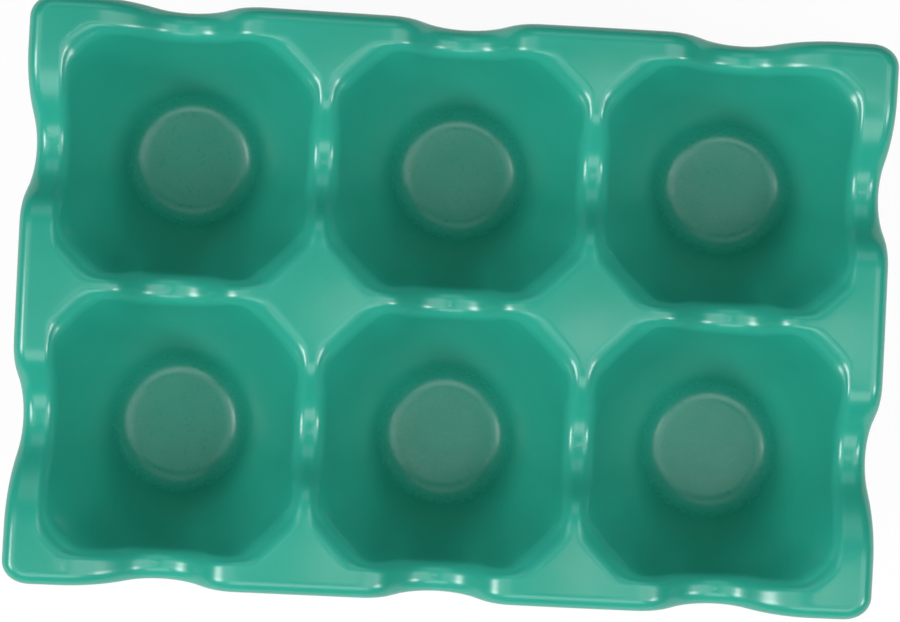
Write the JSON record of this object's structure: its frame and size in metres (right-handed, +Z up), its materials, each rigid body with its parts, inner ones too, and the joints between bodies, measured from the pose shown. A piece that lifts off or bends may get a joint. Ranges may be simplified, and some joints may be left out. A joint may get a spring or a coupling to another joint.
{
  "type": "egg rack",
  "caption": "Glazed ceramic countertop egg rack with open tapered cups, sagging ridges, raised diamond posts and a wavy rim, standing on rubber pads.",
  "frame": {"origin": "middle of the rack's footprint, on the table plane that the pads stand on", "axes": "+X along a row of three cups, +Y from the front row to the back row, +Z up"},
  "size_m": [0.1606, 0.1076, 0.043],
  "materials": {
    "green_glaze": "satin green glaze, a little thinner and paler on the edges",
    "grey_rubber": "matt dark grey rubber"
  },
  "bodies": {
    "root": {"ceramic_rack": "green_glaze", "foot_pad_front_left": "grey_rubber", "foot_pad_front_middle": "grey_rubber", "foot_pad_front_right": "grey_rubber", "foot_pad_back_left": "grey_rubber", "foot_pad_back_middle": "grey_rubber", "foot_pad_back_right": "grey_rubber"}
  },
  "joints": []
}
